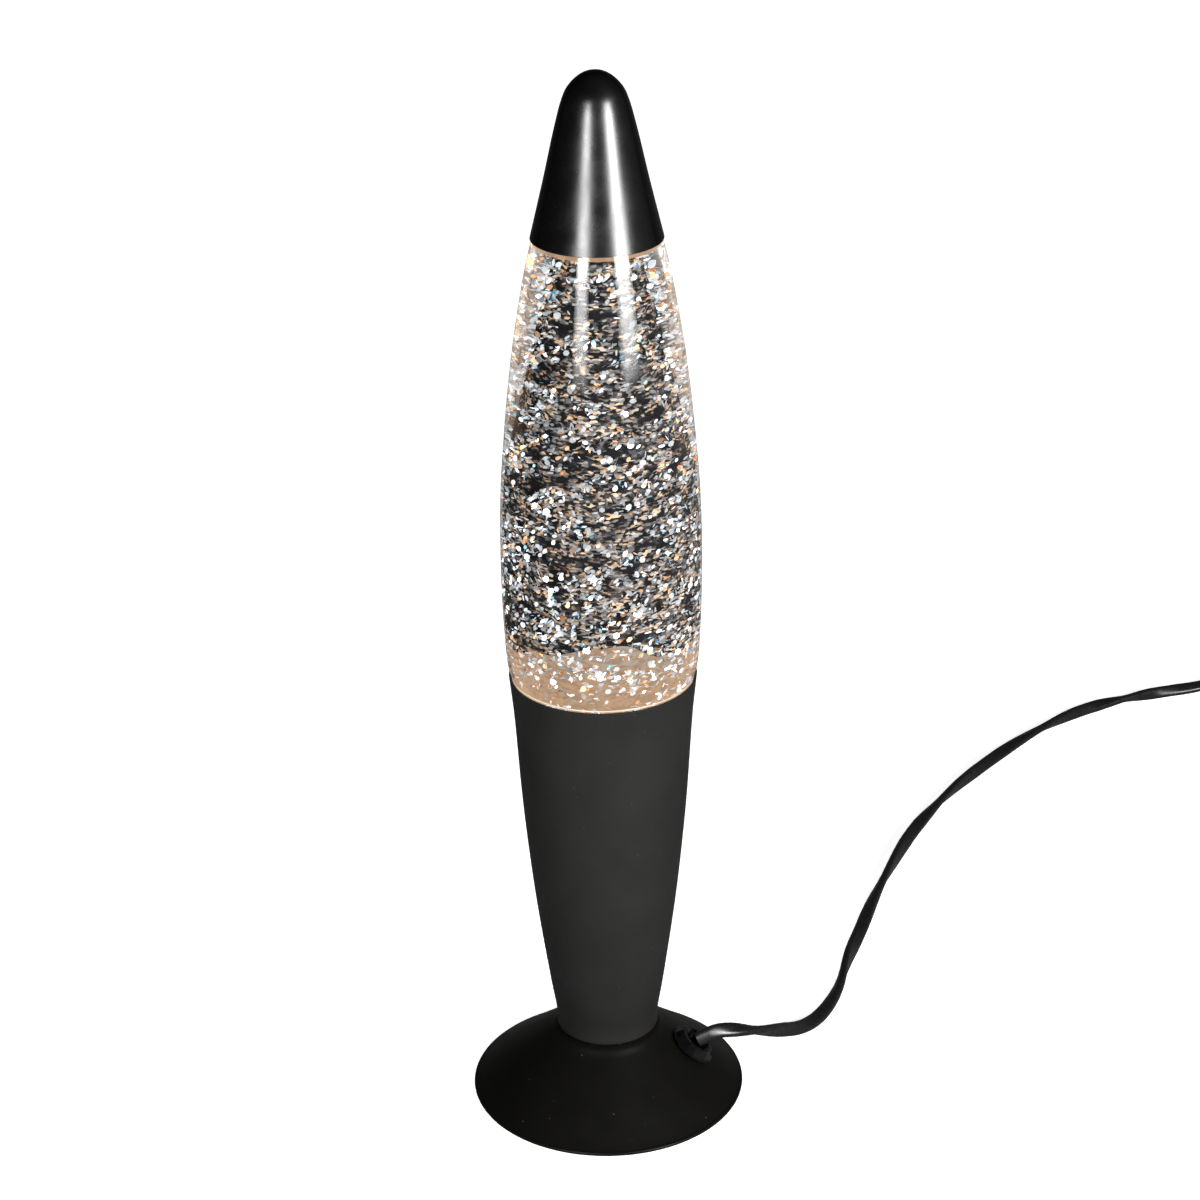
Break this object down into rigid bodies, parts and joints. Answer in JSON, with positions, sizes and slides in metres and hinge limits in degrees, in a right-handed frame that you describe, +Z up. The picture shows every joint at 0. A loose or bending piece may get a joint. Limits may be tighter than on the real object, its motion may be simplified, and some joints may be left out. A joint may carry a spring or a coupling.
{
  "type": "glitter lamp",
  "caption": "Glitter lamp: a turned black foot and cup hold a tapering bottle of glitter liquid over a small bulb, under a bullet-shaped cap; corded with a rocker switch.",
  "frame": {"origin": "on the surface that the lamp stands on, under the middle of the foot", "axes": "+Z up along the lamp's axis; +X towards the side where the cord leaves the foot"},
  "size_m": [0.4789, 0.4173, 0.42],
  "materials": {
    "foot_black": "satin black enamel with a soft sheen",
    "cap_black": "satin black enamel",
    "cup_black": "matte black enamel",
    "moulded_black": "matte moulded plastic",
    "gland_black": "glossy faceted plastic",
    "zinc_steel": "zinc plated steel",
    "bakelite": "dark brown phenolic moulding",
    "ceramic": null,
    "brass": "bright brass",
    "nickel_brass": "nickel plated brass",
    "cord_black": "smooth flexible black cord sheath",
    "wire_brown": "brown wire insulation",
    "wire_blue": "blue wire insulation",
    "tie_white": "white plastic tie",
    "switch_black": "finely textured black plastic",
    "rocker_black": "smooth black plastic",
    "plug_black": "finely textured black plastic",
    "pin_nickel": "nickel plated brass pins",
    "bottle_glass": "clear flint glass",
    "glitter_liquid": "clear liquid full of glitter, dark in depth",
    "tinplate": "tinplate crown cap",
    "liner_grey": "soft grey sealing liner",
    "solder": "solder button",
    "bulb_glass": "clear reflector bulb glass",
    "black_glass": "black glass insulator",
    "tungsten": "drawn wire",
    "filament_glow": "tungsten filament, glowing when lit",
    "rubber": "soft black rubber"
  },
  "bodies": {
    "root": {"foot_shell": "foot_black", "bottom_plate": "moulded_black", "rubber_foot_1": "rubber", "rubber_foot_2": "rubber", "rubber_foot_3": "rubber", "rubber_foot_4": "rubber", "cord_gland": "gland_black", "gland_nut": "moulded_black", "threaded_tube": "zinc_steel", "foot_washer": "zinc_steel", "foot_nut": "zinc_steel", "cup_washer": "zinc_steel", "cup_nut": "zinc_steel", "body_cup": "cup_black", "socket_base": "bakelite", "socket_insert": "ceramic", "socket_sleeve": "bakelite", "socket_screw_shell": "brass", "socket_centre_contact": "brass", "terminal_screw_1": "zinc_steel", "terminal_screw_2": "zinc_steel", "cord_inner": "cord_black", "wire_live": "wire_brown", "wire_neutral": "wire_blue", "cord_run": "cord_black", "cord_lead": "cord_black", "cord_tail": "cord_black", "cord_coil": "cord_black", "cord_tie": "tie_white", "switch_bottom": "switch_black", "switch_top": "switch_black", "switch_screw_1": "zinc_steel", "switch_screw_2": "zinc_steel", "switch_contact_in": "brass", "switch_contact_out": "brass", "switch_through_wire": "wire_blue", "plug_body": "plug_black", "plug_pin_1": "pin_nickel", "plug_pin_2": "pin_nickel"},
    "bottle": {"bottle_glass": "bottle_glass", "liquid": "glitter_liquid", "crown_cap": "tinplate", "crown_liner": "liner_grey"},
    "cap": {"cap_shell": "cap_black"},
    "bulb_contact": {"bulb_tip_contact": "solder"},
    "bulb": {"bulb_glass": "bulb_glass", "bulb_screw_cap": "nickel_brass", "bulb_insulator": "black_glass", "bulb_stem": "bulb_glass", "bulb_lead_1": "tungsten", "bulb_lead_2": "tungsten", "filament": "filament_glow"},
    "rocker": {"switch_rocker": "rocker_black"}
  },
  "joints": [
    {"name": "bottle_lift", "type": "slide", "parent": "root", "child": "bottle", "axis": [0, 0, 1], "range_m": [0, 0.06]},
    {"name": "cap_lift", "type": "slide", "parent": "bottle", "child": "cap", "axis": [0, 0, 1], "range_m": [0, 0.05]},
    {"name": "bulb_rise", "type": "slide", "parent": "root", "child": "bulb_contact", "axis": [0, 0, 1], "range_m": [0, 0.0114]},
    {"name": "bulb_turn", "type": "hinge", "parent": "bulb_contact", "child": "bulb", "pos_m": [0, 0, 0.061], "axis": [0, 0, 1], "range_deg": [0, 1440]},
    {"name": "switch_rock", "type": "hinge", "parent": "root", "child": "rocker", "pos_m": [0.365, 0.349, 0.0126], "axis": [0, 1, 0], "range_deg": [-22, 0]}
  ],
  "couplings": [
    {"joint": "bulb_rise", "follows": "bulb_turn", "m_per_rad": 0.0004488}
  ]
}
